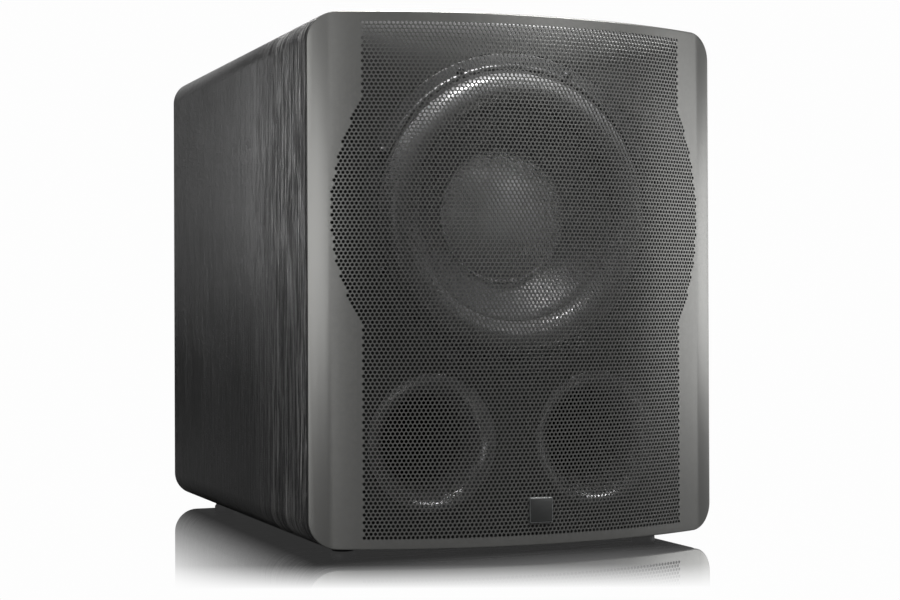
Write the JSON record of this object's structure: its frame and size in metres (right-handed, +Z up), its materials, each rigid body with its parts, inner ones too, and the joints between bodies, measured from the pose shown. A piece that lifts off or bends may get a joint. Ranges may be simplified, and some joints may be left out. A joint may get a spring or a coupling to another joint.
{
  "type": "subwoofer",
  "caption": "Powered subwoofer: black veneered box with rounded edges, curved perforated metal grille that pulls off, and a woofer over two flared ports.",
  "frame": {"origin": "on the floor under the middle of the object's bounding box", "axes": "-Y is the front with the grille, +X is to the right seen from the front, +Z is up"},
  "size_m": [0.465, 0.6644, 0.556],
  "materials": {
    "black_veneer": "open-pore vertical grain, satin",
    "baffle_paint": "black paint on fibreboard",
    "raw_board": "bare fibreboard",
    "rubber": "matte",
    "zinc_steel": "zinc plated",
    "black_steel": "black oxide",
    "grille_paint": "fine satin grey powder coat",
    "black_plastic": "matte moulded",
    "badge_metal": "satin grey plate",
    "cast_frame": "black coated casting",
    "foam": "closed-cell foam",
    "cone_paper": "smooth dark cone",
    "spider_cloth": "resin-stiffened cloth",
    "former": "thin rolled sheet",
    "copper": "enamelled copper wire",
    "steel": "plated",
    "ferrite": "ground ferrite",
    "board": "glass-fibre circuit board",
    "amp_paint": "fine texture black",
    "aluminium": "extruded",
    "pins_brass": "nickel plated",
    "gold": "gold plated",
    "white_plastic": "moulded",
    "lens": "tinted lens",
    "lead_jacket": "soft jacket"
  },
  "bodies": {
    "cabinet": {"side_panel_left": "black_veneer", "side_panel_right": "black_veneer", "top_panel": "black_veneer", "bottom_panel": "black_veneer", "front_baffle": "baffle_paint", "back_panel": "baffle_paint", "window_braces": "raw_board", "rubber_feet": "rubber", "foot_screws": "zinc_steel", "grille_cups": "black_plastic", "woofer_flange": "cast_frame", "woofer_basket": "cast_frame", "woofer_gasket": "foam", "woofer_surround": "rubber", "woofer_spider": "spider_cloth", "magnet_top_plate": "steel", "ferrite_magnets": "ferrite", "magnet_yoke": "steel", "woofer_terminals": "pins_brass", "tinsel_leads": "copper", "woofer_screws": "black_steel", "port_flare_left": "black_plastic", "port_flare_right": "black_plastic", "port_tube_left": "black_plastic", "port_tube_right": "black_plastic", "port_elbow_left": "black_plastic", "port_elbow_right": "black_plastic", "port_end_flare_left": "black_plastic", "port_end_flare_right": "black_plastic", "amp_plate": "amp_paint", "amp_gasket": "foam", "amp_screws": "black_steel", "amp_chassis": "zinc_steel", "amp_board": "board", "amp_heatsink": "aluminium", "power_transformer": "copper", "reservoir_capacitors": "black_plastic", "potentiometers": "zinc_steel", "mode_switch_housing": "zinc_steel", "power_switch_housing": "black_plastic", "mains_inlet": "black_plastic", "mains_inlet_pins": "pins_brass", "line_jack_shells": "gold", "line_jack_inserts": "white_plastic", "trigger_jack": "black_plastic", "status_lens": "lens", "speaker_leads": "lead_jacket"},
    "cone_assembly": {"woofer_cone": "cone_paper", "dust_cap": "cone_paper", "coil_former": "former", "voice_coil": "copper"},
    "grille": {"grille_sheet": "grille_paint", "grille_frame": "black_plastic", "grille_studs": "black_plastic", "grille_badge": "badge_metal"},
    "volume_dial": {"volume_knob": "black_plastic"},
    "lowpass_dial": {"lowpass_knob": "black_plastic"},
    "phase_dial": {"phase_knob": "black_plastic"},
    "mode_lever": {"mode_slider": "white_plastic"},
    "power_paddle": {"power_rocker": "black_plastic"}
  },
  "joints": [
    {"name": "cone_excursion", "type": "slide", "parent": "cabinet", "child": "cone_assembly", "axis": [0, 1, 0], "range_m": [-0.02, 0.02], "stiffness_N_per_m": 4500, "deforming": ["woofer_surround", "woofer_spider", "tinsel_leads"]},
    {"name": "grille_pull", "type": "slide", "parent": "cabinet", "child": "grille", "axis": [0, -1, 0], "range_m": [0, 0.12]},
    {"name": "volume_turn", "type": "hinge", "parent": "cabinet", "child": "volume_dial", "pos_m": [0.07, 0.3202, 0.405], "axis": [0, 1, 0], "range_deg": [-150, 150]},
    {"name": "lowpass_turn", "type": "hinge", "parent": "cabinet", "child": "lowpass_dial", "pos_m": [0, 0.3202, 0.405], "axis": [0, 1, 0], "range_deg": [-150, 150]},
    {"name": "phase_turn", "type": "hinge", "parent": "cabinet", "child": "phase_dial", "pos_m": [-0.07, 0.3202, 0.405], "axis": [0, 1, 0], "range_deg": [-150, 150]},
    {"name": "power_rocker_tilt", "type": "hinge", "parent": "cabinet", "child": "power_paddle", "pos_m": [-0.03, 0.3207, 0.165], "axis": [1, 0, 0], "range_deg": [0, 8]},
    {"name": "mode_switch_slide", "type": "slide", "parent": "cabinet", "child": "mode_lever", "axis": [1, 0, 0], "range_m": [0, 0.006]}
  ]
}
